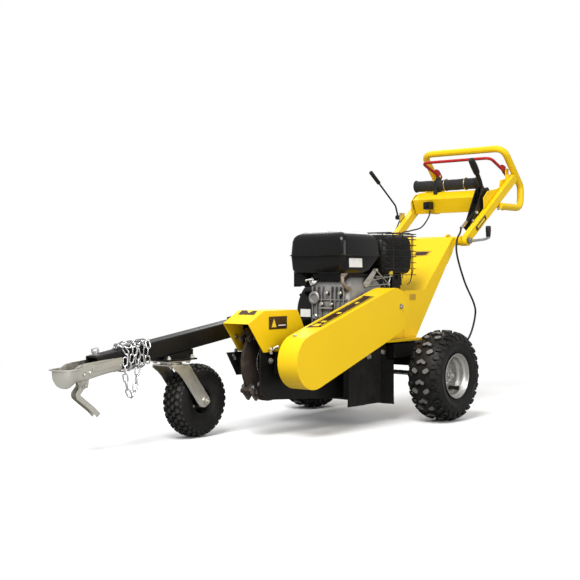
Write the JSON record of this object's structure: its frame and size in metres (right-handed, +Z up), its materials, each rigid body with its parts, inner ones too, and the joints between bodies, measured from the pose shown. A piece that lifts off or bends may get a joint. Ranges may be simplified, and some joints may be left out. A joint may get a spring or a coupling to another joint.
{
  "type": "stump grinder",
  "caption": "Walk-behind stump grinder with an offset towing drawbar and caster, a side belt drive to a toothed cutting wheel, an upright engine and a tilting handle.",
  "frame": {"origin": "on the ground, under the middle of the machine's overall length and width", "axes": "+X from the tow coupling towards the operator's handle, +Y towards the side away from the belt guard (the machine's right when it works towards -X), +Z up"},
  "size_m": [2.4456, 0.818, 1.1627],
  "materials": {
    "yellow_paint": "gloss paint",
    "black_paint": "satin paint",
    "red_paint": "satin paint",
    "engine_black": "satin paint",
    "black_plastic": "matte",
    "rubber": "matte",
    "tyre_rubber": "matte",
    "zinc": "zinc plated",
    "bright_steel": "machined",
    "cast_aluminium": "as cast"
  },
  "bodies": {
    "chassis": {"deck_frame": "black_paint", "axle": "bright_steel", "cutter_housing": "black_paint", "cutter_hood": "yellow_paint", "belt_guard": "yellow_paint", "guard_backplate": "black_paint", "side_flap": "rubber", "rear_flap": "rubber", "front_flap": "rubber", "shaft_bearing": "cast_aluminium", "drive_belt": "rubber", "crankcase": "cast_aluminium", "cylinder_head": "cast_aluminium", "fan_housing": "engine_black", "recoil_cover": "engine_black", "fuel_tank": "engine_black", "air_cleaner": "black_plastic", "carburettor": "cast_aluminium", "muffler": "engine_black", "muffler_guard": "black_paint", "column": "yellow_paint", "drawbar": "black_paint", "drawbar_receiver": "black_paint", "ball_coupling": "zinc", "tow_eye": "zinc", "safety_chain": "zinc", "caster_bracket": "black_paint", "caster_mount_plate": "zinc"},
    "left_wheel": {"left_tyre": "tyre_rubber", "left_rim": "zinc"},
    "right_wheel": {"right_tyre": "tyre_rubber", "right_rim": "zinc"},
    "caster_swivel": {"caster_fork": "zinc"},
    "caster_wheel": {"caster_tyre": "tyre_rubber", "caster_rim": "black_paint"},
    "cutter": {"cutter_wheel": "black_paint", "cutter_tooth_1": "bright_steel", "cutter_tooth_2": "bright_steel", "cutter_tooth_3": "bright_steel", "cutter_tooth_4": "bright_steel", "cutter_shaft": "bright_steel", "cutter_pulley": "cast_aluminium"},
    "engine_output": {"drive_pulley": "cast_aluminium"},
    "handle": {"handle_arms": "yellow_paint", "handlebar_loop": "yellow_paint", "control_panel": "yellow_paint", "document_tube": "black_plastic", "switch_box": "black_plastic", "brake_bracket": "black_paint", "throttle_bracket": "bright_steel"},
    "bail": {"bail_lever": "red_paint"},
    "brake_hand_lever": {"brake_lever": "black_plastic"},
    "throttle_hand_lever": {"throttle_lever": "black_plastic"},
    "clamp": {"clamp_crank": "black_plastic"},
    "stop_push_button": {"stop_button": "black_plastic"},
    "latch": {"coupling_latch": "zinc"},
    "starter_grip": {"recoil_grip": "black_plastic"},
    "filler_cap": {"fuel_cap": "black_plastic"},
    "lock_pin": {"receiver_pin": "zinc"}
  },
  "joints": [
    {"name": "left_wheel_spin", "type": "hinge", "parent": "chassis", "child": "left_wheel", "pos_m": [0.34, -0.334, 0.179], "axis": [0, 1, 0], "continuous": true},
    {"name": "right_wheel_spin", "type": "hinge", "parent": "chassis", "child": "right_wheel", "pos_m": [0.34, 0.334, 0.179], "axis": [0, 1, 0], "continuous": true},
    {"name": "caster_swivel_turn", "type": "hinge", "parent": "chassis", "child": "caster_swivel", "pos_m": [-0.705, 0.125, 0.262], "axis": [0, 0, 1], "continuous": true},
    {"name": "caster_wheel_spin", "type": "hinge", "parent": "caster_swivel", "child": "caster_wheel", "pos_m": [-0.589, 0.125, 0.1305], "axis": [0, 1, 0], "continuous": true},
    {"name": "cutter_spin", "type": "hinge", "parent": "chassis", "child": "cutter", "pos_m": [-0.386, -0.045, 0.264], "axis": [0, 1, 0], "continuous": true},
    {"name": "engine_output_spin", "type": "hinge", "parent": "chassis", "child": "engine_output", "pos_m": [0.078, -0.216, 0.433], "axis": [0, 1, 0], "continuous": true},
    {"name": "handle_tilt", "type": "hinge", "parent": "chassis", "child": "handle", "pos_m": [0.745, 0, 0.722], "axis": [0, -1, 0], "range_deg": [-35, 20]},
    {"name": "clamp_crank_turn", "type": "hinge", "parent": "handle", "child": "clamp", "pos_m": [0.745, -0.222, 0.722], "axis": [0, 1, 0], "range_deg": [-90, 90]},
    {"name": "bail_squeeze", "type": "hinge", "parent": "handle", "child": "bail", "pos_m": [1.122, 0, 1.048], "axis": [0, 1, 0], "range_deg": [0, 10]},
    {"name": "brake_lever_pull", "type": "hinge", "parent": "handle", "child": "brake_hand_lever", "pos_m": [0.94, -0.1615, 0.925], "axis": [0, 1, 0], "range_deg": [0, 35]},
    {"name": "throttle_swing", "type": "hinge", "parent": "handle", "child": "throttle_hand_lever", "pos_m": [0.86, 0.235, 0.842], "axis": [0, 1, 0], "range_deg": [-15, 25]},
    {"name": "stop_button_press", "type": "slide", "parent": "handle", "child": "stop_push_button", "axis": [1, 0, 0], "range_m": [0, 0.004]},
    {"name": "coupling_latch_turn", "type": "hinge", "parent": "chassis", "child": "latch", "pos_m": [-1.098, 0.125, 0.2245], "axis": [0, 1, 0], "range_deg": [-35, 20]},
    {"name": "recoil_pull", "type": "slide", "parent": "chassis", "child": "starter_grip", "axis": [0, 1, 0], "range_m": [0, 0.07]},
    {"name": "fuel_cap_turn", "type": "hinge", "parent": "chassis", "child": "filler_cap", "pos_m": [0.01, -0.04, 0.7225], "axis": [0, 0, 1], "range_deg": [0, 90]},
    {"name": "receiver_pin_pull", "type": "slide", "parent": "chassis", "child": "lock_pin", "axis": [0, 1, 0], "range_m": [0, 0.1]}
  ],
  "couplings": [
    {"joint": "engine_output_spin", "follows": "cutter_spin", "ratio": 1.1227}
  ]
}
